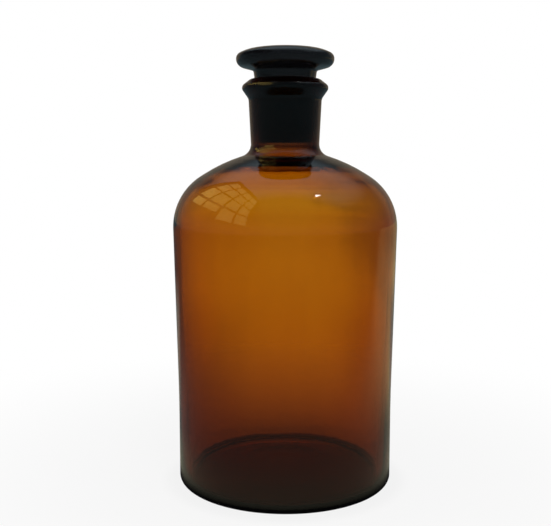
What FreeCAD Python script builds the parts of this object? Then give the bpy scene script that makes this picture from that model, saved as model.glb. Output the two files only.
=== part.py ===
import FreeCAD, Part
import math
import os

# A narrow-necked reagent bottle of blown glass, closed by a ground glass stopper with a flat head.
# Millimetres, +Z up, origin at the centre of the circle that the bottle stands on.
# Each piece is a turned form: a chain of corners (radius, height, round), revolved about Z.

# Body of the bottle
body_radius = 52.0          # straight lower part of the body
flare_start = 42.5          # height where the body begins to widen
flare = 2.2                 # how much wider the body is at the shoulder
flare_blend = 900.0         # slow bend between the straight and the widening wall
heel_round = 3.0            # outer edge of the base

# Shoulder, given by the corners that its slopes would meet in
shoulder_height = 140.1     # where the body wall would meet the shoulder
shoulder_round = 28.7
crown_radius = 30.3         # ring where the shoulder gets flatter towards the neck
crown_rise = 15.2           # from the shoulder corner up to that ring
crown_round = 78.0
neck_rise = 4.5             # from that ring up to the foot of the neck
neck_foot_fillet = 6.0

# Ground joint, size 29/32 with a cone of 1 in 10
joint_diameter = 29.2       # wide end, at the mouth
joint_length = 32.0         # length of the ground socket
joint_taper = 10.0          # length over which the diameter shrinks by 1
ground_gap = 0.05           # radial room between plug and socket
throat_length = 2.8         # neck below the ground socket

# Neck and lip
neck_wall = 3.3
lip_overhang = 3.9          # corner of the lip beyond the neck
lip_depth = 9.2             # from the mouth down to where the lip leaves the neck
lip_under_fillet = 4.0
lip_nose_drop = 3.7         # from the mouth down to the widest ring of the lip
lip_nose_round = 2.2
lip_land = 1.95             # flat ring around the mouth, up to its outer corner
lip_top_round = 2.0
mouth_round = 0.5

# Glass thickness and base
shoulder_wall = 3.0         # upper body and foot of the shoulder
crown_wall = 2.3            # thinnest, at the ring of the crown
neck_root_wall = 4.2        # the glass gets thicker again towards the neck
taper_start = 95.0          # below this height the wall gets thicker towards the foot
heel_wall = 5.2             # at the foot of the body
heel_depth = 2.6            # from the standing ring up to the foot of the inside
inside_heel_round = 3.0
floor_crown = 3.0           # rise of the inner floor towards its middle
push_up = 3.0               # hollow under the base
ring_width = 6.0            # flat ring that the bottle stands on
ring_round = 3.0

# Stopper
plug_end_gap = 1.9          # socket left free below the plug
plug_end_round = 1.2
shank_flare = 0.5           # widening of the shank between mouth and head
head_gap = 4.1              # from the mouth up to the underside of the head
shank_fillet = 1.5
underside_rise = 2.2        # the underside slopes up towards the rim
head_radius = 23.3
rim_thickness = 5.0
rim_lower_round = 4.0
rim_upper_round = 2.9
edge_inset = 6.0            # the top slopes up from the rim over this width
edge_rise = 2.9             # by this much
flat_round = 20.0           # from that slope into the flat top

# Heights and radii that follow from these
shoulder_radius = body_radius + flare
crown_height = shoulder_height + crown_rise
neck_foot_height = crown_height + neck_rise
mouth_height = neck_foot_height + throat_length + joint_length
mouth_radius = joint_diameter / 2
underside_height = mouth_height + head_gap
rim_low_height = underside_height + underside_rise
rim_top_height = rim_low_height + rim_thickness


def bore_radius(height):
    """Radius of the ground cone, carried on down the neck, at a height."""
    return mouth_radius - (mouth_height - height) / joint_taper / 2


def set_in(start, end, start_wall, end_wall):
    """A run of an outline, its (radius, height) ends moved to the left of its direction by the wall there."""
    dr = end[0] - start[0]
    dz = end[1] - start[1]
    length = math.hypot(dr, dz)
    left_r = -dz / length
    left_z = dr / length
    inner_start = (start[0] + left_r * start_wall, start[1] + left_z * start_wall)
    return inner_start, (end[0] + left_r * end_wall, end[1] + left_z * end_wall)


def crossing(first, second):
    """Where two runs meet when both are carried on."""
    (ar, az), (br, bz) = first
    (cr, cz), (dr, dz) = second
    across = (br - ar) * (dz - cz) - (bz - az) * (dr - cr)
    share = ((cr - ar) * (dz - cz) - (cz - az) * (dr - cr)) / across
    return ar + share * (br - ar), az + share * (bz - az)


def dome_corner(apex_height, rim_radius, rim_height, rim_round):
    """Corner whose round makes a dome about the axis that ends short of the round of its rim."""
    radius = rim_radius / 2 - rim_round
    slope = math.atan2(abs(apex_height - rim_height), rim_radius - radius)
    return radius, apex_height, radius / math.tan(slope / 2)


def rounded_outline(corners):
    """Edges along a chain of corners. Each round is limited by the runs on both sides of it."""
    points = [FreeCAD.Vector(radius, 0, height) for radius, height, _ in corners]
    runs = [end - start for start, end in zip(points, points[1:])]
    setbacks = [0.0] * len(points)
    for i in range(1, len(points) - 1):
        setbacks[i] = corners[i][2] * math.tan(runs[i - 1].getAngle(runs[i]) / 2)
    room = [min(1.0, run.Length / max(setbacks[i] + setbacks[i + 1], 1e-9)) for i, run in enumerate(runs)]
    edges = []
    here = points[0]
    for i in range(1, len(points)):
        if i == len(points) - 1 or setbacks[i] == 0.0:
            arc_start = arc_end = points[i]
        else:
            setback = setbacks[i] * min(room[i - 1], room[i])
            back = FreeCAD.Vector(runs[i - 1]).normalize() * -1
            on = FreeCAD.Vector(runs[i]).normalize()
            half_turn = runs[i - 1].getAngle(runs[i]) / 2
            arc_start = points[i] + back * setback
            arc_end = points[i] + on * setback
            depth = setback * (1 - math.cos(half_turn)) / math.sin(half_turn)
            arc_middle = points[i] + (back + on).normalize() * depth
        if here.distanceToPoint(arc_start) > 1e-6:
            edges.append(Part.LineSegment(here, arc_start).toShape())
        if arc_start.distanceToPoint(arc_end) > 1e-6:
            edges.append(Part.Arc(arc_start, arc_middle, arc_end).toShape())
        here = arc_end
    return edges


def turned(corners):
    """Solid of revolution whose outline starts and ends on the axis."""
    edges = rounded_outline(corners)
    foot = FreeCAD.Vector(0, 0, corners[0][1])
    top = FreeCAD.Vector(0, 0, corners[-1][1])
    edges.append(Part.LineSegment(top, foot).toShape())
    face = Part.Face(Part.Wire(edges))
    return face.revolve(FreeCAD.Vector(0, 0, 0), FreeCAD.Vector(0, 0, 1), 360)


def make_bottle():
    """Bottle: hollow base, widening body, domed shoulder, neck with a ground socket, and lip."""
    ring_inner = body_radius - heel_round - ring_width
    lip_foot = mouth_height - lip_depth
    lip_foot_radius = bore_radius(lip_foot) + neck_wall
    flare_corner = (body_radius, flare_start)
    shoulder = (shoulder_radius, shoulder_height)
    crown = (crown_radius, crown_height)
    neck_foot = (bore_radius(neck_foot_height) + neck_wall, neck_foot_height)

    outside = [
        (0, push_up, 0),
        dome_corner(push_up, ring_inner, 0, ring_round),
        (ring_inner, 0, ring_round),
        (body_radius, 0, heel_round),
        (*flare_corner, flare_blend),
        (*shoulder, shoulder_round),
        (*crown, crown_round),
        (*neck_foot, neck_foot_fillet),
        (lip_foot_radius, lip_foot, lip_under_fillet),
        (lip_foot_radius + lip_overhang, mouth_height - lip_nose_drop, lip_nose_round),
        (mouth_radius + lip_land, mouth_height, lip_top_round),
    ]

    bore = ((mouth_radius, mouth_height), (bore_radius(neck_foot_height), neck_foot_height))
    inner_crown_run = set_in(crown, neck_foot, crown_wall, neck_root_wall)
    inner_shoulder_run = set_in(shoulder, crown, shoulder_wall, crown_wall)
    inner_wall_run = set_in(flare_corner, shoulder, shoulder_wall, shoulder_wall)
    taper_level = ((0, taper_start), (body_radius, taper_start))
    heel_radius = body_radius - heel_wall
    inside = [
        (mouth_radius, mouth_height, mouth_round),
        (*crossing(bore, inner_crown_run), neck_foot_fillet + shoulder_wall),
        (*crossing(inner_crown_run, inner_shoulder_run), crown_round - shoulder_wall),
        (*crossing(inner_shoulder_run, inner_wall_run), shoulder_round - shoulder_wall),
        (*crossing(inner_wall_run, taper_level), flare_blend),
        (heel_radius, heel_depth, inside_heel_round),
        dome_corner(heel_depth + floor_crown, heel_radius, heel_depth, inside_heel_round),
        (0, heel_depth + floor_crown, 0),
    ]
    return turned(outside + inside)


def make_stopper():
    """Stopper: ground plug that fills the socket, short shank, and flat head with a rounded, sloping edge."""
    plug_end_height = mouth_height - joint_length + plug_end_gap
    top_height = rim_top_height + edge_rise
    return turned([
        (0, plug_end_height, 0),
        (bore_radius(plug_end_height) - ground_gap, plug_end_height, plug_end_round),
        (mouth_radius - ground_gap, mouth_height, 0),
        (mouth_radius + shank_flare, underside_height, shank_fillet),
        (head_radius, rim_low_height, rim_lower_round),
        (head_radius, rim_top_height, rim_upper_round),
        (head_radius - edge_inset, top_height, flat_round),
        (0, top_height, 0),
    ])


os.makedirs("parts", exist_ok=True)
make_bottle().exportStep("parts/bottle.step")
make_stopper().exportStep("parts/stopper.step")
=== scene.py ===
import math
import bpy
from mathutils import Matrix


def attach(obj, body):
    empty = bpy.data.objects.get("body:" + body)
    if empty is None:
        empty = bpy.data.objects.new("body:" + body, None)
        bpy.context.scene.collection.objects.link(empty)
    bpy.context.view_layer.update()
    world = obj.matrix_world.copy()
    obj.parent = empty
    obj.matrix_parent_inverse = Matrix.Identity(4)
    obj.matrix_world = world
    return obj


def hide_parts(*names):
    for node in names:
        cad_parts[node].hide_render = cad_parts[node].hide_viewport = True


bl_info = {
    "name": "Reagent Bottle",
    "version": (1, 0, 0),
    "blender": (4, 5, 0),
    "location": "View3D > Sidebar > Reagent Bottle",
    "description": "Amber glass reagent bottle with a ground stopper, on a plain studio floor",
    "category": "Add Mesh",
}

from collections import namedtuple

import bmesh
import bpy
from bpy.props import FloatProperty, FloatVectorProperty, IntProperty, PointerProperty
from mathutils import Vector

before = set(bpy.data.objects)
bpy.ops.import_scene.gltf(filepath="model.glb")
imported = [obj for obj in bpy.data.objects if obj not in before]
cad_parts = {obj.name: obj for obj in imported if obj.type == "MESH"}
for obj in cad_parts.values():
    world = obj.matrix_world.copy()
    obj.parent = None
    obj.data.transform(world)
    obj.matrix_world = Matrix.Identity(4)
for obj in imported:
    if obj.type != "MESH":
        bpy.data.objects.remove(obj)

# Lengths are in metres, +Z is up, and the origin is the middle of the circle that the bottle stands on.
WHITE = (1.0, 1.0, 1.0)

# Corner of a turned outline: wave is its share of the unevenness, and ground is 1 on a ground face
Corner = namedtuple("Corner", "radius height round wave ground", defaults=(0.0, 0.0, 0.0))
OUTER_WAVE = 0.15               # outside of body and shoulder
CROWN_WAVE = 0.1                # outside of the crown
THROAT_WAVE = 0.6               # inside, at the foot of the neck
INNER_WAVE = 1.0                # inside, below that
HEAD_WAVE = 0.1                 # shank and head of the stopper
PLUG_END_WAVE = 0.3             # middle of the plug's end
GROUND = 1.0
THROAT_FADE = 0.3               # part of the way to the crown over which the ground finish fades

# Fineness of the meshes
LONGEST_STEP = 0.0025           # along an outline
ROUND_STEP = math.radians(3.5)  # turn of each step on a round
FEWEST_STEPS = 3                # on a round
MERGE_DISTANCE = 1e-6

# Noise patterns: stretch along X, Y and Z, waves per metre, detail and seed
Pattern = namedtuple("Pattern", "stretch scale detail seed", defaults=(0.0,))
EVEN = (1.0, 1.0, 1.0)
BLOWN_STREAKS = Pattern((1.0, 1.0, 0.12), 110.0, 2.0)
BLOWN_LUMPS = Pattern((1.0, 1.0, 0.6), 28.0, 1.0)
GLASS_STREAKS = Pattern((1.0, 1.0, 0.15), 160.0, 3.0, 2.0)
GLASS_SMEARS = Pattern((1.0, 1.0, 0.5), 45.0, 4.0, 5.0)
GLASS_DASHES = Pattern((0.2, 0.2, 1.0), 210.0, 3.0, 3.0)
GROUND_GRAIN = Pattern(EVEN, 2600.0, 2.0, 1.0)
FLOOR_CLOUDS = Pattern(EVEN, 3.0, 2.0, 0.0)
PANE_CLOUDS = Pattern(EVEN, 2.5, 3.0, 4.0)
WINDOW_WALL_CLOUDS = Pattern(EVEN, 3.0, 2.0, 1.0)

# Unevenness of the blown wall
STREAK_SHARE = 0.35
LUMP_SHARE = 1.2
UNEVEN_GAIN = 2.0               # because noise strays from its middle by a half at most

# Finish of the glass
NECK_START = (0.157, 0.172)     # heights where the clear shoulder turns into the thick neck
SMEARED = (0.5, 0.8)            # values of the smears that dull the glass
SMEAR_ROUGHNESS = 0.012
GRAIN_SPREAD = 0.15             # change of the ground roughness by its grain
STREAK_TINT = (0.94, 0.92, 0.88)
STREAK_HEIGHT = 1.4
DASH_HEIGHT = 1.1
RELIEF_STRENGTH = 0.25
RELIEF_DEPTH = 0.0001

# Floor: distances from the axis between which one tone turns into the next
# Painted shadow: the floor's colour, and its mirrored tone, are darker under the base
CONTACT_END = (0.053, 0.063)            # dark floor under the base
MIRRORED_CONTACT_END = (0.054, 0.064)   # the same, as the glass mirrors it
FOOT_FLOOR_END = (0.055, 0.13)
NEAR_FLOOR_END = (0.06, 0.45)
BACK_FLOOR_END = (0.4, 0.8)
FAR_FLOOR_END = (1.0, 4.0)
WARM_START = (0.05, 0.28)
WARM_END = (0.7, 1.2)
WARM_REST = 0.6                         # share of the warm tone that is left after that
DISTANCE_START = (0.7, 1.6)
RIGHT_START = (0.3, 0.6)
RIGHT_END = (2.0, 4.0)
RIGHT_REST = 0.7
SHADE_END = (0.05, 0.6)

# Floor: places across the view between which one tone turns into the next
WARM_SIDE = (0.03, 0.1)
WARM_EDGE = (-0.2, -0.02)               # front edge of the warm floor, along a slanted line
WARM_SLANT = -0.4
RIGHT_SIDE = (0.07, 0.27)
SHADE_LEFT = (-0.075, -0.005)
SHADE_RIGHT = (0.04, 0.08)
SHADE_RIGHT_SHARE = 0.45

# Floor: distances from the axis over which it comes to glow by itself, so that it fades to white
OPEN_GLOW = (0.055, 0.3)                # seen straight on
OPEN_GLOW_LEAST = 0.88
GLASS_GLOW = (0.075, 0.295)             # seen through the glass
GLASS_GLOW_CURVE = 0.65
MIRROR_GLOW = 0.95                      # mirrored in the glass, at any distance

# Floor: its sheet, and the darker of its two tones as a share of the other
FLOOR_HALF = 4.0
FLOOR_DROP = 0.0002                     # keeps the floor clear of the base
FLOOR_DIM = 0.985

# Directions: parts of a unit vector between which one tone turns into the next
TO_THE_BACK = (0.75, 0.9)               # Y, for light that turned within the glass wall
FLOOR_TO_THE_BACK = (0.7, 0.8)          # Y, for the floor behind the bottle
FLOOR_TO_THE_LEFT = (0.0, 0.1)          # X
FLOOR_PARTLY_BACK = (0.3, 0.6)          # Y
STUDIO_RISE = (0.1, 0.35)               # Z, from the front to its top
CEILING_RISE = (0.5, 0.8)               # Z
CEILING_REACH = (-0.5, -0.1)            # Y
STUDIO_BACK = (0.5, 0.8)                # Y
STUDIO_BACK_TOP = (0.4, 0.65)           # Z
WALL_LIGHT_TOP = (0.02, 0.1)            # Z
SKY_TO_THE_RIGHT = (0.01, 0.09)         # X
SKY_RISE = (0.05, 0.15)                 # Z, from the far floor to the sky

# Window on the left, which only the glass shows
PANE_COLUMNS = 4
PANE_ROWS = 4
PANE_WIDTH = 0.5
PANE_HEIGHT = 0.45
PANE_BRIGHT = 1.45                      # share of the window's level at its brightest spots
PANE_DIM = 0.55                         # and at its dimmest
WINDOW_BAR = 0.07                       # dark bar between two panes
WINDOW_SILL = 0.5                       # part of the lowest row that a sill hides in half the columns
WINDOW_PLACE = (-1.0, -0.25, 1.29)
WINDOW_WALL_MARGIN = 0.3                # wall beyond the panes
WINDOW_WALL_BELOW = 1 / 3               # part of the wall's lower half that is there
WINDOW_WALL_GAP = 0.02                  # from the panes back to the wall

# Lights and camera
LIGHTS_AIM = (0.0, 0.0, 0.11)
TOP_LAMP_PLACE = (0.41, -0.27, 1.0)
TOP_LAMP_SIZE = (0.07, 0.05)
FRONT_LIGHT_PLACE = (0.4, -1.1, 0.9)
FRONT_LIGHT_SIZE = (0.6, 0.6)
SENSOR_WIDTH = 36.0                     # mm


def length(label, description, default):
    """A size in metres."""
    return FloatProperty(
        name=label, description=description, default=default, min=0.0, unit="LENGTH", subtype="DISTANCE"
    )


def number(label, description, default, low=0.0):
    """A plain number with a lowest value."""
    return FloatProperty(name=label, description=description, default=default, min=low)


def share(label, description, default):
    """A plain number from 0 to 1."""
    return FloatProperty(
        name=label, description=description, default=default, min=0.0, max=1.0, subtype="FACTOR"
    )


def angle(label, description, degrees):
    """An angle, given in degrees."""
    return FloatProperty(
        name=label, description=description, default=math.radians(degrees), unit="ROTATION", subtype="ANGLE"
    )


def colour(label, description, default):
    """A linear colour."""
    return FloatVectorProperty(
        name=label, description=description, default=default, size=3, min=0.0, max=1.0, subtype="COLOR"
    )


class ReagentBottleSizes(bpy.types.PropertyGroup):
    """Sizes of the bottle's turned outline."""

    body_radius: length("Body Radius", "Straight lower part of the body", 0.052)
    flare_start: length("Flare Start", "Height where the body begins to widen", 0.0425)
    flare: length("Flare", "How much wider the body is at the shoulder", 0.0022)
    flare_blend: length("Flare Blend", "Slow bend between the straight and the widening wall", 0.9)
    heel_round: length("Heel Round", "Outer edge of the base", 0.003)
    shoulder_height: length("Shoulder Height", "Where the body wall would meet the shoulder", 0.1401)
    shoulder_round: length("Shoulder Round", "Round between body and shoulder", 0.0287)
    crown_radius: length("Crown Radius", "Ring where the shoulder gets flatter", 0.0303)
    crown_rise: length("Crown Rise", "From the shoulder corner up to that ring", 0.0152)
    crown_round: length("Crown Round", "Round at that ring", 0.078)
    neck_rise: length("Neck Rise", "From that ring up to the foot of the neck", 0.0045)
    neck_foot_fillet: length("Neck Foot Fillet", "Hollow round at the foot of the neck", 0.006)
    mouth_radius: length("Mouth Radius", "Wide end of the ground socket", 0.0146)
    mouth_round: length("Mouth Round", "Inner edge of the mouth", 0.0005)
    polished_edge: length("Polished Edge", "Polished ring inside the mouth, above the ground face", 0.0012)
    joint_length: length("Joint Length", "Length of the ground socket", 0.032)
    joint_taper: number("Joint Taper", "Length over which the socket's diameter shrinks by 1", 10.0, 1.0)
    throat_length: length("Throat Length", "Neck below the ground socket", 0.0028)
    neck_wall: length("Neck Wall", "Glass around the socket", 0.0033)
    lip_overhang: length("Lip Overhang", "Corner of the lip beyond the neck", 0.0039)
    lip_depth: length("Lip Depth", "From the mouth to where the lip leaves the neck", 0.0092)
    lip_under_fillet: length("Lip Under Fillet", "Hollow round below the lip", 0.004)
    lip_nose_drop: length("Lip Nose Drop", "From the mouth to the widest ring of the lip", 0.0037)
    lip_nose_round: length("Lip Nose Round", "Round at that ring", 0.0022)
    lip_land: length("Lip Land", "Flat ring around the mouth", 0.00195)
    lip_top_round: length("Lip Top Round", "Outer edge of that ring", 0.002)
    shoulder_wall: length("Shoulder Wall", "Glass of shoulder and upper body", 0.003)
    crown_wall: length("Crown Wall", "Glass at the ring of the crown", 0.0023)
    neck_root_wall: length("Neck Root Wall", "Glass around the foot of the neck", 0.0042)
    taper_start: length("Taper Start", "Height below which the wall gets thicker", 0.095)
    heel_wall: length("Heel Wall", "Glass at the foot of the body", 0.0052)
    heel_depth: length("Heel Depth", "From the standing ring to the foot of the inside", 0.0026)
    inside_heel_round: length("Inside Heel Round", "Edge of the inner floor", 0.003)
    floor_crown: length("Floor Crown", "Rise of the inner floor to its middle", 0.003)
    push_up: length("Push Up", "Hollow under the base", 0.003)
    ring_width: length("Ring Width", "Flat ring that the bottle stands on", 0.006)
    ring_round: length("Ring Round", "Inner edge of that ring", 0.003)


class ReagentStopperSizes(bpy.types.PropertyGroup):
    """Sizes of the stopper's turned outline."""

    ground_gap: length("Ground Gap", "Room between plug and socket", 0.00005)
    plug_end_gap: length("Plug End Gap", "Socket left free below the plug", 0.0019)
    plug_end_round: length("Plug End Round", "Edge of the plug's end", 0.0012)
    fade_height: length("Fade Height", "Height above the mouth over which the ground finish ends", 0.0008)
    fade_flare: length("Fade Flare", "Widening of the shank over that height", 0.0001)
    shank_flare: length("Shank Flare", "Widening of the shank up to the head", 0.0005)
    shank_fillet: length("Shank Fillet", "Hollow round between shank and head", 0.0015)
    head_gap: length("Head Gap", "From the mouth up to the head", 0.0041)
    underside_rise: length("Underside Rise", "Slope of the underside up to the rim", 0.0022)
    head_radius: length("Head Radius", "Radius of the flat head", 0.0233)
    rim_thickness: length("Rim Thickness", "Height of the rim", 0.005)
    rim_lower_round: length("Rim Lower Round", "Lower edge of the rim", 0.004)
    rim_upper_round: length("Rim Upper Round", "Upper edge of the rim", 0.0029)
    edge_inset: length("Edge Inset", "Width over which the top slopes up from the rim", 0.006)
    edge_rise: length("Edge Rise", "Height of that slope", 0.0029)
    flat_round: length("Flat Round", "From that slope into the flat top", 0.02)


class ReagentGlassLook(bpy.types.PropertyGroup):
    """Colour and finish of the glass."""

    tint: colour("Tint", "Colour that the glass lets through", (0.887, 0.717, 0.0))
    depth: number("Depth", "How fast light fades in the bottle's glass, per metre", 1200.0)
    stopper_depth: number("Stopper Depth", "The same for the stopper's glass", 1800.0)
    clearness: share("Clearness", "Share of the bottle's surface that lets light through", 1.0)
    stopper_clearness: share("Stopper Clearness", "The same for the stopper", 0.97)
    ior: number("IOR", "Index of refraction", 1.52, 1.0)
    ground_roughness: share("Ground Roughness", "Roughness of the ground faces", 0.42)
    ground_tint: colour("Ground Tint", "What the ground faces let through", (0.4, 0.36, 0.36))
    neck_tint: colour("Neck Tint", "What the thick neck and stopper let through", (0.22, 0.22, 0.26))
    neck_roughness: share("Neck Roughness", "Roughness of the polished neck and lip", 0.15)
    stopper_roughness: share("Stopper Roughness", "Roughness of the polished stopper", 0.03)
    unevenness: length("Unevenness", "How far the blown wall strays from its outline", 0.00022)
    facets: IntProperty(name="Facets", description="Steps around the axis", default=224, min=24, max=512)
    seed: IntProperty(name="Seed", description="Seed of the unevenness", default=7, min=0)


class ReagentStageLook(bpy.types.PropertyGroup):
    """Floor, light and camera."""

    floor_colour: colour("Floor", "Colour of the floor", (0.93, 0.93, 0.925))
    # Painted shadow: darker floor colour under the base
    painted_shadow_floor: colour("Contact Floor", "Floor under the base", (0.085, 0.085, 0.085))
    # Painted shadow under the base, as the glass mirrors it
    painted_shadow_mirror: colour("Contact Mirror", "The same, as the glass mirrors it", (0.02, 0.02, 0.022))
    fill: share("Fill", "Level of the light from all around", 0.35)
    front: colour("Front", "Studio in front, as the glass mirrors it", (0.07, 0.11, 0.125))
    front_top: colour("Front Top", "The same, higher up", (0.05, 0.07, 0.085))
    ceiling: colour("Ceiling", "Ceiling, as the glass mirrors it", (0.37, 0.45, 0.5))
    back: colour("Back", "Studio at the back, as the glass mirrors it", (0.245, 0.21, 0.165))
    # Painted reflections: the floor tones below show only where the glass mirrors the pale floor
    side: colour("Side", "Warm floor on the right, as the glass mirrors it", (0.6, 0.46, 0.22))
    back_floor: colour("Back Floor", "Floor behind the bottle, as the glass mirrors it", (0.29, 0.26, 0.21))
    foot_floor: colour("Foot Floor", "Floor next to the base, as the glass mirrors it", (0.27, 0.26, 0.19))
    near_floor: colour("Near Floor", "Floor around the base, as the glass mirrors it", (0.15, 0.15, 0.14))
    far_floor: colour("Far Floor", "Floor further off, as the glass mirrors it", (0.04, 0.045, 0.045))
    wall_light: colour("Wall Light", "What reaches the eye by way of the glass wall", (0.4, 0.4, 0.4))
    distance_tone: colour("Distance", "Far background, seen through the glass", (0.88, 0.88, 0.88))
    distance_right: colour("Distance Right", "The same, to the right", (0.6, 0.6, 0.6))
    side_shade: colour("Side Shade", "Floor beside the bottle, seen through the glass", (0.57, 0.57, 0.57))
    sky_right: colour("Sky Right", "Sky to the right, seen through the glass", (0.7, 0.7, 0.7))
    window: colour("Window", "Light of the window on the left", (1.0, 0.74, 0.22))
    window_wall: colour("Window Wall", "Wall around the window, as the glass mirrors it", (0.03, 0.03, 0.03))
    window_level: number("Window Level", "Brightness of the window", 1.45)
    top_level: number("Top Level", "Brightness of the small lamp above", 22.0)
    front_level: number("Front Level", "Brightness of the front soft light", 4.0)
    lens: number("Lens", "Focal length on a 36 mm wide sensor, in mm", 57.17, 1.0)
    distance: length("Camera Distance", "From the bottle's axis to the camera", 0.4231)
    height: length("Camera Height", "Height of the camera above the floor", 0.1572)
    tilt: angle("Camera Tilt", "How far the camera looks down", 6.806)
    turn: angle("Camera Turn", "How far the camera looks to the left", 0.622)


def neck_foot_height(sizes):
    """Height where the shoulder meets the neck."""
    return sizes.shoulder_height + sizes.crown_rise + sizes.neck_rise


def mouth_height(sizes):
    """Height of the mouth, which is the wide end of the ground socket."""
    return neck_foot_height(sizes) + sizes.throat_length + sizes.joint_length


def bore_radius(sizes, height):
    """Radius of the ground cone, carried on down the neck, at a height."""
    return sizes.mouth_radius - (mouth_height(sizes) - height) / sizes.joint_taper / 2


def set_in(start, end, start_wall, end_wall):
    """A run of an outline, moved to the left of its direction by the wall at each end."""
    run = Vector(end) - Vector(start)
    left = Vector((-run.y, run.x)).normalized()
    return Vector(start) + left * start_wall, Vector(end) + left * end_wall


def crossing(first, second):
    """Where two runs meet when both are carried on."""
    start, end = first
    other_start, other_end = second
    other = other_end - other_start
    part_of_run = (other_start - start).cross(other) / (end - start).cross(other)
    return start + (end - start) * part_of_run


def dome_corner(apex, rim_radius, rim_height, rim_round):
    """Corner whose round makes a dome about the axis."""
    radius = rim_radius / 2 - rim_round
    slope = math.atan2(abs(apex - rim_height), rim_radius - radius)
    return radius, apex, radius / math.tan(slope / 2)


def bottle_corners(sizes):
    """Corners of the bottle, from the middle of the base up the outside to the mouth and down the inside."""
    ring_inner = sizes.body_radius - sizes.heel_round - sizes.ring_width
    mouth = mouth_height(sizes)
    foot = neck_foot_height(sizes)
    lip_foot = mouth - sizes.lip_depth
    lip_foot_radius = bore_radius(sizes, lip_foot) + sizes.neck_wall
    bend = (sizes.body_radius, sizes.flare_start)
    shoulder = (sizes.body_radius + sizes.flare, sizes.shoulder_height)
    crown = (sizes.crown_radius, sizes.shoulder_height + sizes.crown_rise)
    neck_foot = (bore_radius(sizes, foot) + sizes.neck_wall, foot)
    outside = [
        Corner(0.0, sizes.push_up),
        Corner(*dome_corner(sizes.push_up, ring_inner, 0.0, sizes.ring_round)),
        Corner(ring_inner, 0.0, sizes.ring_round),
        Corner(sizes.body_radius, 0.0, sizes.heel_round),
        Corner(*bend, sizes.flare_blend, OUTER_WAVE),
        Corner(*shoulder, sizes.shoulder_round, OUTER_WAVE),
        Corner(*crown, sizes.crown_round, CROWN_WAVE),
        Corner(*neck_foot, sizes.neck_foot_fillet),
        Corner(lip_foot_radius, lip_foot, sizes.lip_under_fillet),
        Corner(lip_foot_radius + sizes.lip_overhang, mouth - sizes.lip_nose_drop, sizes.lip_nose_round),
        Corner(sizes.mouth_radius + sizes.lip_land, mouth, sizes.lip_top_round),
    ]

    bore = (Vector((sizes.mouth_radius, mouth)), Vector((bore_radius(sizes, foot), foot)))
    crown_run = set_in(crown, neck_foot, sizes.crown_wall, sizes.neck_root_wall)
    shoulder_run = set_in(shoulder, crown, sizes.shoulder_wall, sizes.crown_wall)
    wall_run = set_in(bend, shoulder, sizes.shoulder_wall, sizes.shoulder_wall)
    taper_level = (Vector((0.0, sizes.taper_start)), Vector((sizes.body_radius, sizes.taper_start)))
    socket_top = mouth - sizes.polished_edge
    socket_end = mouth - sizes.joint_length
    throat_end = crossing(bore, crown_run)
    crown_end = crossing(crown_run, shoulder_run)
    shoulder_end = crossing(shoulder_run, wall_run)
    taper_end = crossing(wall_run, taper_level)
    heel = sizes.body_radius - sizes.heel_wall
    floor = sizes.heel_depth + sizes.floor_crown
    inside = [
        Corner(sizes.mouth_radius, mouth, sizes.mouth_round),
        Corner(bore_radius(sizes, socket_top), socket_top, ground=GROUND),
        Corner(bore_radius(sizes, socket_end), socket_end, ground=GROUND),
        Corner(*throat_end, sizes.neck_foot_fillet + sizes.shoulder_wall, THROAT_WAVE, GROUND),
        Corner(*throat_end.lerp(crown_end, THROAT_FADE), wave=INNER_WAVE),
        Corner(*crown_end, sizes.crown_round - sizes.shoulder_wall, INNER_WAVE),
        Corner(*shoulder_end, sizes.shoulder_round - sizes.shoulder_wall, INNER_WAVE),
        Corner(*taper_end, sizes.flare_blend, INNER_WAVE),
        Corner(heel, sizes.heel_depth, sizes.inside_heel_round, INNER_WAVE),
        Corner(*dome_corner(floor, heel, sizes.heel_depth, sizes.inside_heel_round), INNER_WAVE),
        Corner(0.0, floor, wave=INNER_WAVE),
    ]
    return outside + inside


def stopper_corners(sizes, stopper):
    """Corners of the stopper, from the middle of the plug's end up to the middle of the head."""
    mouth = mouth_height(sizes)
    plug_end = mouth - sizes.joint_length + stopper.plug_end_gap
    plug_end_radius = bore_radius(sizes, plug_end) - stopper.ground_gap
    plug_top_radius = sizes.mouth_radius - stopper.ground_gap
    underside = mouth + stopper.head_gap
    rim_low = underside + stopper.underside_rise
    rim_top = rim_low + stopper.rim_thickness
    top = rim_top + stopper.edge_rise
    return [
        Corner(0.0, plug_end, wave=PLUG_END_WAVE, ground=GROUND),
        Corner(plug_end_radius, plug_end, stopper.plug_end_round, ground=GROUND),
        Corner(plug_top_radius, mouth, ground=GROUND),
        Corner(plug_top_radius + stopper.fade_flare, mouth + stopper.fade_height),
        Corner(sizes.mouth_radius + stopper.shank_flare, underside, stopper.shank_fillet, HEAD_WAVE),
        Corner(stopper.head_radius, rim_low, stopper.rim_lower_round, HEAD_WAVE),
        Corner(stopper.head_radius, rim_top, stopper.rim_upper_round, HEAD_WAVE),
        Corner(stopper.head_radius - stopper.edge_inset, top, stopper.flat_round, HEAD_WAVE),
        Corner(0.0, top, wave=HEAD_WAVE),
    ]


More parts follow.
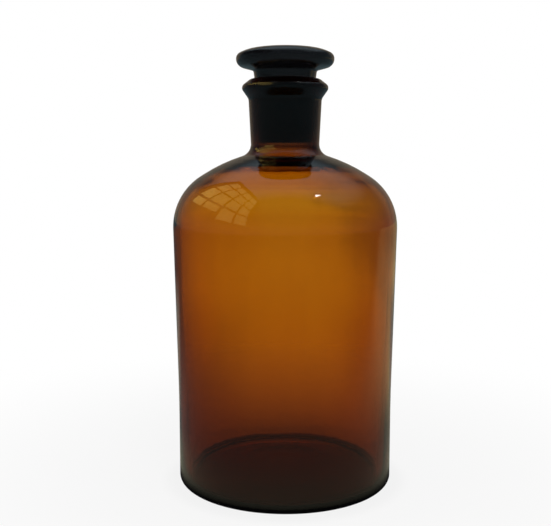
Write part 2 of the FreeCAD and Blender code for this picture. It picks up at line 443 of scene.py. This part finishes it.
class NodeDesk:
    """Adds nodes to a tree and links them."""

    def __init__(self, tree):
        self.tree = tree

    def add(self, kind, inputs=(), **settings):
        """New node with its settings, and with its inputs linked to sockets or set to values."""
        node = self.tree.nodes.new(kind)
        for name, value in settings.items():
            setattr(node, name, value)
        for key, value in dict(inputs).items():
            if isinstance(value, bpy.types.NodeSocket):
                self.tree.links.new(value, node.inputs[key])
            else:
                node.inputs[key].default_value = value
        return node

    def math(self, operation, first, second=0.0, third=0.0):
        """Result of an operation on numbers."""
        return self.add("ShaderNodeMath", {0: first, 1: second, 2: third}, operation=operation).outputs[0]

    def times(self, first, second):
        """Product of two numbers."""
        return self.math("MULTIPLY", first, second)

    def whole(self, operation, first, second):
        """Result of an operation on whole numbers."""
        return self.add("FunctionNodeIntegerMath", {0: first, 1: second}, operation=operation).outputs[0]

    def stored(self, name, data_type="FLOAT"):
        """Value that the mesh holds under a name."""
        return self.add("GeometryNodeInputNamedAttribute", {"Name": name}, data_type=data_type).outputs[0]

    def split(self, vector):
        """X, Y and Z of a vector."""
        return self.add("ShaderNodeSeparateXYZ", {0: vector}).outputs

    def pattern(self, place, pattern, seed=None):
        """Noise from 0 to 1, with the pattern's own seed unless one is given."""
        stretched = self.add("ShaderNodeVectorMath", {0: place, 1: pattern.stretch}, operation="MULTIPLY")
        inputs = {
            "Vector": stretched.outputs[0],
            "W": pattern.seed if seed is None else seed,
            "Scale": pattern.scale,
            "Detail": pattern.detail,
        }
        return self.add("ShaderNodeTexNoise", inputs, noise_dimensions="4D").outputs[0]

    def slope(self, value, low, high, start=0.0, end=1.0):
        """Straight change from start to end while the value goes from low to high."""
        return self.add("ShaderNodeMapRange", {0: value, 1: low, 2: high, 3: start, 4: end}).outputs[0]

    def ramp(self, value, low, high, start=0.0, end=1.0):
        """The same with soft ends."""
        limits = {0: value, 1: low, 2: high, 3: start, 4: end}
        return self.add("ShaderNodeMapRange", limits, interpolation_type="SMOOTHSTEP").outputs[0]

    def fall(self, value, low, high):
        """Soft change from 1 down to 0 while the value goes from low to high."""
        return self.ramp(value, low, high, 1.0, 0.0)

    def mix(self, part_of_second, first, second):
        """Number between two numbers."""
        return self.add("ShaderNodeMix", {0: part_of_second, 2: first, 3: second}).outputs[0]

    def blend(self, part_of_second, first, second):
        """Colour between two colours."""
        colours = {6: first, 7: second}
        for key, value in colours.items():
            if not isinstance(value, bpy.types.NodeSocket):
                colours[key] = (*value, 1.0)
        return self.add("ShaderNodeMix", {0: part_of_second, **colours}, data_type="RGBA").outputs[2]


def emptied(owner):
    """Desk for the emptied node tree of a material or a world."""
    owner.use_nodes = True
    owner.node_tree.nodes.clear()
    return NodeDesk(owner.node_tree)


def rounded_outline(desk, given):
    """Curve along the chain of corners, with their rounds, and cut into steps that aren't too long."""
    index = desk.add("GeometryNodeInputIndex").outputs[0]
    place = desk.add("GeometryNodeInputPosition").outputs[0]
    chain = desk.add("GeometryNodeMeshToCurve", {"Mesh": given["Geometry"]}).outputs[0]
    fillet = {
        "Curve": chain,
        "Count": desk.stored("steps", "INT"),
        "Radius": desk.stored("round"),
        "Limit Radius": True,
    }
    rounded = desk.add("GeometryNodeFilletCurve", fillet, mode="POLY").outputs[0]
    step_on = {"Index": desk.whole("ADD", index, 1), "Value": place}
    following = desk.add("GeometryNodeFieldAtIndex", step_on, data_type="FLOAT_VECTOR").outputs[0]
    gap = desk.add("ShaderNodeVectorMath", {0: place, 1: following}, operation="DISTANCE").outputs["Value"]
    cuts = desk.math("FLOOR", desk.math("DIVIDE", gap, given["Longest Step"]))
    return desk.add("GeometryNodeSubdivideCurve", {"Curve": rounded, "Cuts": cuts}).outputs[0]


def turned_sheet(desk, given, outline):
    """Outline turned about Z into a closed mesh that holds the outline's wave and ground."""
    index = desk.add("GeometryNodeInputIndex").outputs[0]
    place = desk.add("GeometryNodeInputPosition").outputs[0]
    size = desk.add("GeometryNodeAttributeDomainSize", {"Geometry": outline}, component="CURVE")
    count = size.outputs["Point Count"]
    grid = {"Vertices X": desk.whole("ADD", given["Facets"], 1), "Vertices Y": count}
    mesh = desk.add("GeometryNodeMeshGrid", grid).outputs["Mesh"]
    along = desk.whole("MODULO", index, count)
    turn = desk.math("DIVIDE", desk.whole("DIVIDE_FLOOR", index, count), given["Facets"])
    around = desk.times(turn, math.tau)

    def on_outline(value, data_type):
        inputs = {"Geometry": outline, "Value": value, "Index": along}
        return desk.add("GeometryNodeSampleIndex", inputs, data_type=data_type, domain="POINT").outputs[0]

    corner = desk.split(on_outline(place, "FLOAT_VECTOR"))
    ring = {
        "X": desk.times(corner["X"], desk.math("COSINE", around)),
        "Y": desk.times(corner["X"], desk.math("SINE", around)),
        "Z": corner["Z"],
    }
    for name in ("wave", "ground"):
        kept = {"Geometry": mesh, "Name": name, "Value": on_outline(desk.stored(name), "FLOAT")}
        store = desk.add("GeometryNodeStoreNamedAttribute", kept, data_type="FLOAT", domain="POINT")
        mesh = store.outputs[0]
    turned = {"Geometry": mesh, "Position": desk.add("ShaderNodeCombineXYZ", ring).outputs[0]}
    mesh = desk.add("GeometryNodeSetPosition", turned).outputs[0]
    return desk.add("GeometryNodeMergeByDistance", {"Geometry": mesh, "Distance": MERGE_DISTANCE}).outputs[0]


def uneven_wall(desk, given, mesh):
    """Mesh moved in and out by streaks and lumps, as far as its wave says."""
    place = desk.add("GeometryNodeInputPosition").outputs[0]
    streaks = desk.times(desk.pattern(place, BLOWN_STREAKS, given["Seed"]), STREAK_SHARE)
    lumps = desk.times(desk.pattern(place, BLOWN_LUMPS, given["Seed"]), LUMP_SHARE)
    middle = (STREAK_SHARE + LUMP_SHARE) / 2
    amount = desk.math("SUBTRACT", desk.math("ADD", streaks, lumps), middle)
    amount = desk.times(amount, given["Unevenness"])
    push = desk.times(desk.times(amount, desk.stored("wave")), UNEVEN_GAIN)
    normal = desk.add("GeometryNodeInputNormal").outputs[0]
    offset = desk.add("ShaderNodeVectorMath", {0: normal, "Scale": push}, operation="SCALE").outputs[0]
    return desk.add("GeometryNodeSetPosition", {"Geometry": mesh, "Offset": offset}).outputs[0]


def turned_glass_tree():
    """Node tree that rounds a chain of corners, turns it about Z and makes the blown wall a little uneven."""
    tree = bpy.data.node_groups.new("turned_glass", "GeometryNodeTree")
    inputs = {
        "Geometry": "NodeSocketGeometry",
        "Facets": "NodeSocketInt",
        "Longest Step": "NodeSocketFloat",
        "Unevenness": "NodeSocketFloat",
        "Seed": "NodeSocketFloat",
        "Material": "NodeSocketMaterial",
    }
    for label, kind in inputs.items():
        tree.interface.new_socket(label, in_out="INPUT", socket_type=kind)
    tree.interface.new_socket("Geometry", in_out="OUTPUT", socket_type="NodeSocketGeometry")
    desk = NodeDesk(tree)
    given = desk.add("NodeGroupInput").outputs
    outline = rounded_outline(desk, given)
    mesh = uneven_wall(desk, given, turned_sheet(desk, given, outline))
    mesh = desk.add("GeometryNodeSetShadeSmooth", {0: mesh}).outputs[0]
    mesh = desk.add("GeometryNodeRealizeInstances", {"Geometry": mesh}).outputs[0]
    mesh = desk.add("GeometryNodeSetMaterial", {"Geometry": mesh, "Material": given["Material"]}).outputs[0]
    desk.add("NodeGroupOutput", {"Geometry": mesh})
    return tree


def corner_chain(name, corners):
    """Mesh of the corners in the XZ plane, joined in order, with the values that the tree reads."""
    points = [Vector((corner.radius, 0.0, corner.height)) for corner in corners]
    mesh = bpy.data.meshes.new(name)
    mesh.from_pydata(points, [(i, i + 1) for i in range(len(points) - 1)], [])
    steps = [1] * len(points)
    for i in range(1, len(points) - 1):
        bend = (points[i] - points[i - 1]).angle(points[i + 1] - points[i])
        steps[i] = max(FEWEST_STEPS, round(bend / ROUND_STEP))
    for label in ("round", "wave", "ground"):
        values = [getattr(corner, label) for corner in corners]
        mesh.attributes.new(label, "FLOAT", "POINT").data.foreach_set("value", values)
    mesh.attributes.new("steps", "INT", "POINT").data.foreach_set("value", steps)
    return mesh


def turn_piece(name, corners, material, look):
    """Plain mesh object of the turned corners, at the origin."""
    obj = bpy.data.objects.new(name, corner_chain(name, corners))
    bpy.context.scene.collection.objects.link(obj)
    tree = bpy.data.node_groups.get("turned_glass") or turned_glass_tree()
    modifier = obj.modifiers.new("turned_glass", "NODES")
    modifier.node_group = tree
    values = {
        "Facets": look.facets,
        "Longest Step": LONGEST_STEP,
        "Unevenness": look.unevenness,
        "Seed": float(look.seed),
        "Material": material,
    }
    for item in tree.interface.items_tree:
        if item.in_out == "INPUT" and item.name in values:
            modifier[item.identifier] = values[item.name]
    evaluated = obj.evaluated_get(bpy.context.evaluated_depsgraph_get())
    mesh = bpy.data.meshes.new_from_object(evaluated)
    obj.modifiers.remove(modifier)
    chain = obj.data
    obj.data = mesh
    bpy.data.meshes.remove(chain)
    mesh.name = name
    work = bmesh.new()
    work.from_mesh(mesh)
    bmesh.ops.remove_doubles(work, verts=work.verts, dist=MERGE_DISTANCE)
    bmesh.ops.recalc_face_normals(work, faces=work.faces)
    work.to_mesh(mesh)
    work.free()
    return obj


def glass_material(name, look, depth, neck_roughness, clearness):
    """Amber glass that is clear, softer towards the mouth, and matt where the mesh says that it is ground."""
    material = bpy.data.materials.new(name)
    desk = emptied(material)
    place = desk.add("ShaderNodeTexCoord").outputs["Object"]
    ground = desk.add("ShaderNodeAttribute", attribute_name="ground").outputs["Fac"]
    neck = desk.ramp(desk.split(place)["Z"], *NECK_START)
    streaks = desk.pattern(place, GLASS_STREAKS)
    smears = desk.pattern(place, GLASS_SMEARS)
    dashes = desk.pattern(place, GLASS_DASHES)
    grain = desk.pattern(place, GROUND_GRAIN)

    clear = desk.slope(smears, *SMEARED, 0.0, SMEAR_ROUGHNESS)
    clear = desk.math("MULTIPLY_ADD", neck, neck_roughness, clear)
    matt = desk.math("MULTIPLY_ADD", grain, GRAIN_SPREAD, look.ground_roughness - GRAIN_SPREAD / 2)
    ripple = desk.math("MULTIPLY_ADD", dashes, DASH_HEIGHT, desk.times(streaks, STREAK_HEIGHT))
    relief = {
        "Strength": RELIEF_STRENGTH,
        "Distance": RELIEF_DEPTH,
        "Height": desk.mix(ground, ripple, grain),
    }
    polished = desk.blend(neck, desk.blend(streaks, WHITE, STREAK_TINT), look.neck_tint)
    surface = {
        "Base Color": desk.blend(ground, polished, look.ground_tint),
        "Roughness": desk.mix(ground, clear, matt),
        "IOR": look.ior,
        "Transmission Weight": clearness,
        "Normal": desk.add("ShaderNodeBump", relief).outputs[0],
    }
    shader = desk.add("ShaderNodeBsdfPrincipled", surface).outputs[0]
    volume = desk.add("ShaderNodeVolumeAbsorption", {"Color": (*look.tint, 1.0), "Density": depth}).outputs[0]
    desk.add("ShaderNodeOutputMaterial", {"Surface": shader, "Volume": volume})
    return material


def glass_paths(desk, rays):
    """Whether a ray came straight through glass, was mirrored by it, and was mirrored within its wall."""
    direct = desk.math("LESS_THAN", rays["Diffuse Depth"], 0.5)
    turned_back = desk.math("GREATER_THAN", rays["Glossy Depth"], 0.5)
    mirrored = desk.times(turned_back, direct)
    leaving = desk.times(rays["Is Transmission Ray"], direct)
    within = desk.times(rays["Is Transmission Ray"], mirrored)
    return desk.math("SUBTRACT", leaving, within), mirrored, within


def wall_share(desk, within, way):
    """Share of a ray that went on to the back after one turn within the glass wall."""
    return desk.times(within, desk.ramp(way["Y"], *TO_THE_BACK))


def warm_side(desk, place, far):
    """Share of the painted warm reflection on the right and behind, which fades near the object and far away.
    """
    at = desk.split(place)
    edge = desk.math("MULTIPLY_ADD", at["X"], WARM_SLANT, at["Y"])
    lit = desk.times(desk.ramp(edge, *WARM_EDGE), desk.ramp(at["X"], *WARM_SIDE))
    fade = desk.times(desk.ramp(far, *WARM_START), desk.ramp(far, *WARM_END, 1.0, WARM_REST))
    return desk.times(lit, fade)


def mirrored_floor(desk, look, place, far, rays, within):
    """Painted reflection: tones of a dim studio floor, which the floor glows with only where the glass
    mirrors it.
    """
    way = desk.split(desk.add("ShaderNodeVectorMath", {0: place}, operation="NORMALIZE").outputs[0])
    behind = desk.times(desk.ramp(way["Y"], *FLOOR_TO_THE_BACK), desk.fall(far, *BACK_FLOOR_END))
    # A ray longer than the distance of its end from the axis came steeply, from high on the bottle.
    from_above = desk.math("GREATER_THAN", rays["Ray Length"], far)
    room = desk.blend(desk.ramp(far, *NEAR_FLOOR_END), look.near_floor, look.far_floor)
    room = desk.blend(desk.fall(far, *FOOT_FLOOR_END), room, look.foot_floor)
    room = desk.blend(desk.ramp(far, *FAR_FLOOR_END), room, look.front)
    room = desk.blend(warm_side(desk, place, far), room, look.side)
    room = desk.blend(behind, room, look.back_floor)
    room = desk.blend(from_above, room, look.front)
    # Painted shadow under the base in the mirrored floor
    room = desk.blend(desk.fall(far, *MIRRORED_CONTACT_END), room, look.painted_shadow_mirror)
    leftward = desk.times(desk.fall(way["X"], *FLOOR_TO_THE_LEFT), desk.ramp(way["Y"], *FLOOR_PARTLY_BACK))
    outward = desk.math("MAXIMUM", wall_share(desk, within, way), desk.times(within, leftward))
    return desk.blend(outward, room, look.wall_light)


def floor_through_glass(desk, look, place, far, through):
    """White floor, and its greyer distance, right and sides where it is seen through the glass."""
    across = desk.split(place)["X"]
    distant = desk.times(through, desk.ramp(far, *DISTANCE_START))
    shown = desk.blend(distant, WHITE, look.distance_tone)
    right = desk.times(desk.ramp(across, *RIGHT_SIDE), desk.ramp(far, *RIGHT_START))
    right = desk.times(right, desk.ramp(far, *RIGHT_END, 1.0, RIGHT_REST))
    shown = desk.blend(desk.times(through, right), shown, look.distance_right)
    shade_left = desk.fall(across, *SHADE_LEFT)
    shade = desk.math("MULTIPLY_ADD", desk.ramp(across, *SHADE_RIGHT), SHADE_RIGHT_SHARE, shade_left)
    shade = desk.times(shade, desk.fall(far, *SHADE_END))
    return desk.blend(desk.times(through, shade), shown, look.side_shade)


def floor_material(look):
    """Pale matt floor that fades to white with distance and still shows the shadow near the object, deepened
    by a painted shadow under the base.
    """
    material = bpy.data.materials.new("pale_floor")
    desk = emptied(material)
    place = desk.add("ShaderNodeTexCoord").outputs["Object"]
    far = desk.add("ShaderNodeVectorMath", {0: place}, operation="LENGTH").outputs["Value"]
    dim = tuple(FLOOR_DIM * c for c in look.floor_colour)
    tone = desk.blend(desk.pattern(place, FLOOR_CLOUDS), look.floor_colour, dim)
    # Painted shadow: the floor's own colour darkens under the base
    tone = desk.blend(desk.fall(far, *CONTACT_END), tone, look.painted_shadow_floor)
    paint = desk.add("ShaderNodeBsdfDiffuse", {"Color": tone}).outputs[0]

    rays = desk.add("ShaderNodeLightPath").outputs
    through, mirrored, within = glass_paths(desk, rays)
    room = mirrored_floor(desk, look, place, far, rays, within)
    shown = desk.blend(mirrored, floor_through_glass(desk, look, place, far, through), room)
    light = desk.add("ShaderNodeEmission", {"Color": shown, "Strength": 1.0}).outputs[0]

    open_glow = desk.ramp(far, *OPEN_GLOW, OPEN_GLOW_LEAST, 1.0)
    glass_glow = desk.math("POWER", desk.slope(far, *GLASS_GLOW), GLASS_GLOW_CURVE)
    glow = desk.times(rays["Is Camera Ray"], open_glow)
    glow = desk.math("MULTIPLY_ADD", through, glass_glow, glow)
    glow = desk.math("MULTIPLY_ADD", mirrored, MIRROR_GLOW, glow)
    shader = desk.add("ShaderNodeMixShader", {0: glow, 1: paint, 2: light}).outputs[0]
    desk.add("ShaderNodeOutputMaterial", {"Surface": shader})
    return material


def studio_world(look):
    """White background for the camera and through glass, and a dim studio for what the glass mirrors."""
    world = bpy.data.worlds.new("studio")
    desk = emptied(world)
    rays = desk.add("ShaderNodeLightPath").outputs
    through, mirrored, within = glass_paths(desk, rays)
    way = desk.split(desk.add("ShaderNodeTexCoord").outputs["Generated"])
    room = desk.blend(desk.ramp(way["Z"], *STUDIO_RISE), look.front, look.front_top)
    overhead = desk.times(desk.ramp(way["Z"], *CEILING_RISE), desk.ramp(way["Y"], *CEILING_REACH))
    room = desk.blend(overhead, room, look.ceiling)
    behind = desk.times(desk.ramp(way["Y"], *STUDIO_BACK), desk.fall(way["Z"], *STUDIO_BACK_TOP))
    room = desk.blend(behind, room, look.back)
    level = desk.times(wall_share(desk, within, way), desk.fall(way["Z"], *WALL_LIGHT_TOP))
    room = desk.blend(level, room, look.wall_light)
    shown = desk.blend(mirrored, (look.fill, look.fill, look.fill), room)

    right = desk.ramp(way["X"], *SKY_TO_THE_RIGHT)
    low = desk.blend(right, look.distance_tone, look.distance_right)
    high = desk.blend(right, WHITE, look.sky_right)
    shown = desk.blend(through, shown, desk.blend(desk.ramp(way["Z"], *SKY_RISE), low, high))
    shown = desk.blend(rays["Is Camera Ray"], shown, WHITE)
    light = desk.add("ShaderNodeBackground", {"Color": shown, "Strength": 1.0}).outputs[0]
    desk.add("ShaderNodeOutputWorld", {"Surface": light})
    return world


def glow_sheet(name, points, faces, paint):
    """Sheet on the left that only shows mirrored in the glass, with a colour that paint makes by nodes."""
    material = bpy.data.materials.new(name)
    desk = emptied(material)
    place = desk.add("ShaderNodeTexCoord").outputs["Object"]
    light = desk.add("ShaderNodeEmission", {"Color": paint(desk, place), "Strength": 1.0}).outputs[0]
    desk.add("ShaderNodeOutputMaterial", {"Surface": light})
    mesh = bpy.data.meshes.new(name)
    mesh.from_pydata(points, [], faces)
    mesh.materials.append(material)
    sheet = bpy.data.objects.new(name, mesh)
    sheet.rotation_euler = Vector((1.0, 0.0, 0.0)).to_track_quat("-Z", "Y").to_euler()
    for ray in ("camera", "diffuse", "transmission", "shadow", "volume_scatter"):
        setattr(sheet, "visible_" + ray, False)
    bpy.context.scene.collection.objects.link(sheet)
    return sheet


def window_panes():
    """Points and faces of the panes, about the middle of the window."""
    points, faces = [], []
    for column in range(PANE_COLUMNS):
        for row in range(PANE_ROWS):
            sill = WINDOW_SILL if row == 0 and column < PANE_COLUMNS / 2 else 0.0
            for u, v in ((0, sill), (1, sill), (1, 1), (0, 1)):
                x = (column + u - PANE_COLUMNS / 2) * PANE_WIDTH + (0.5 - u) * WINDOW_BAR
                y = (row + v - PANE_ROWS / 2) * PANE_HEIGHT + (0.5 - v) * WINDOW_BAR
                points.append((x, y, 0.0))
            faces.append(tuple(range(len(points) - 4, len(points))))
    return points, faces


def window_on_left(look):
    """Window of large panes in a dark wall, which the bottle mirrors."""

    def pane_colour(desk, place):
        bright = tuple(PANE_BRIGHT * look.window_level * c for c in look.window)
        dim = tuple(PANE_DIM * look.window_level * c for c in look.window)
        return desk.blend(desk.pattern(place, PANE_CLOUDS), dim, bright)

    def wall_colour(desk, place):
        return desk.blend(desk.pattern(place, WINDOW_WALL_CLOUDS), look.front_top, look.window_wall)

    panes = glow_sheet("window_panes", *window_panes(), pane_colour)
    panes.location = WINDOW_PLACE
    mirrors = bpy.data.collections.new("window_mirrors")
    mirrors.objects.link(bpy.data.objects["amber_bottle"])
    panes.light_linking.receiver_collection = mirrors
    right = PANE_COLUMNS * PANE_WIDTH / 2 + WINDOW_WALL_MARGIN
    top = PANE_ROWS * PANE_HEIGHT / 2 + WINDOW_WALL_MARGIN
    bottom = -top * WINDOW_WALL_BELOW
    corners = [(-right, bottom, 0.0), (right, bottom, 0.0), (right, top, 0.0), (-right, top, 0.0)]
    wall = glow_sheet("window_wall", corners, [(0, 1, 2, 3)], wall_colour)
    wall.location = Vector(WINDOW_PLACE) - Vector((WINDOW_WALL_GAP, 0.0, 0.0))


def soft_light(name, place, size, radiance):
    """Rectangular soft light of a given brightness, turned to the middle of the bottle."""
    width, height = size
    lamp = bpy.data.lights.new(name, "AREA")
    lamp.shape = "RECTANGLE"
    lamp.size = width
    lamp.size_y = height
    lamp.energy = radiance * math.pi * width * height
    obj = bpy.data.objects.new(name, lamp)
    obj.location = place
    obj.rotation_euler = (Vector(LIGHTS_AIM) - Vector(place)).to_track_quat("-Z", "Y").to_euler()
    bpy.context.scene.collection.objects.link(obj)
    return obj


def lay_floor(look):
    """Wide flat floor under the bottle."""
    mesh = bpy.data.meshes.new("floor")
    signs = ((-1, -1), (1, -1), (1, 1), (-1, 1))
    mesh.from_pydata([(x * FLOOR_HALF, y * FLOOR_HALF, 0.0) for x, y in signs], [], [(0, 1, 2, 3)])
    mesh.materials.append(floor_material(look))
    floor = bpy.data.objects.new("floor", mesh)
    floor.location.z = -FLOOR_DROP
    bpy.context.scene.collection.objects.link(floor)


def place_camera(look):
    """Camera in front of the bottle, looking slightly down."""
    camera = bpy.data.cameras.new("camera")
    camera.sensor_width = SENSOR_WIDTH
    camera.lens = look.lens
    view = bpy.data.objects.new("camera", camera)
    view.location = (0.0, -look.distance, look.height)
    view.rotation_euler = (math.pi / 2 - look.tilt, 0.0, look.turn)
    bpy.context.scene.collection.objects.link(view)
    return view


class ReagentBottleAdd(bpy.types.Operator):
    """Turn the bottle with its ground socket"""

    bl_idname = "reagent_bottle.add_bottle"
    bl_label = "Add Bottle"

    def execute(self, context):
        scene = context.scene
        look = scene.reagent_glass
        material = glass_material("bottle_glass", look, look.depth, look.neck_roughness, look.clearness)
        bottle = turn_piece("amber_bottle", bottle_corners(scene.reagent_bottle), material, look)
        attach(bottle, "bottle")
        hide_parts("bottle")
        return {"FINISHED"}


class ReagentStopperAdd(bpy.types.Operator):
    """Turn the stopper with its ground plug"""

    bl_idname = "reagent_bottle.add_stopper"
    bl_label = "Add Stopper"

    def execute(self, context):
        scene = context.scene
        look = scene.reagent_glass
        finish = (look.stopper_depth, look.stopper_roughness, look.stopper_clearness)
        material = glass_material("stopper_glass", look, *finish)
        corners = stopper_corners(scene.reagent_bottle, scene.reagent_stopper)
        stopper = turn_piece("amber_stopper", corners, material, look)
        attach(stopper, "stopper")
        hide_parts("stopper")
        return {"FINISHED"}


class ReagentStageAdd(bpy.types.Operator):
    """Set the floor, the lights and the camera"""

    bl_idname = "reagent_bottle.set_stage"
    bl_label = "Set Stage"

    def execute(self, context):
        scene = context.scene
        look = scene.reagent_stage
        lay_floor(look)
        scene.world = studio_world(look)
        window_on_left(look)
        soft_light("top_lamp", TOP_LAMP_PLACE, TOP_LAMP_SIZE, look.top_level)
        front = soft_light("front_light", FRONT_LIGHT_PLACE, FRONT_LIGHT_SIZE, look.front_level)
        front.visible_glossy = False
        front.visible_transmission = False
        scene.camera = place_camera(look)
        scene.view_settings.view_transform = "Standard"
        return {"FINISHED"}


class ReagentBottlePanel(bpy.types.Panel):
    """Buttons and values of the reagent bottle"""

    bl_idname = "VIEW3D_PT_reagent_bottle"
    bl_label = "Reagent Bottle"
    bl_space_type = "VIEW_3D"
    bl_region_type = "UI"
    bl_category = "Reagent Bottle"

    def draw(self, context):
        layout = self.layout
        for operator in OPERATORS:
            layout.operator(operator.bl_idname)
        for name in GROUPS:
            box = layout.box()
            group = getattr(context.scene, name)
            for key in group.__annotations__:
                box.prop(group, key)


OPERATORS = (ReagentBottleAdd, ReagentStopperAdd, ReagentStageAdd)
GROUPS = {
    "reagent_bottle": ReagentBottleSizes,
    "reagent_stopper": ReagentStopperSizes,
    "reagent_glass": ReagentGlassLook,
    "reagent_stage": ReagentStageLook,
}


def register():
    """Make the groups, operators and panel known to Blender."""
    for name, group in GROUPS.items():
        bpy.utils.register_class(group)
        setattr(bpy.types.Scene, name, PointerProperty(type=group))
    for operator in OPERATORS:
        bpy.utils.register_class(operator)
    bpy.utils.register_class(ReagentBottlePanel)


def unregister():
    """Take them out again."""
    bpy.utils.unregister_class(ReagentBottlePanel)
    for operator in reversed(OPERATORS):
        bpy.utils.unregister_class(operator)
    for name, group in reversed(GROUPS.items()):
        delattr(bpy.types.Scene, name)
        bpy.utils.unregister_class(group)


def main():
    """Build both pieces and the stage."""
    register()
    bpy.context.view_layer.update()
    bpy.ops.reagent_bottle.add_bottle()
    bpy.ops.reagent_bottle.add_stopper()
    bpy.ops.reagent_bottle.set_stage()


if __name__ == "__main__":
    main()
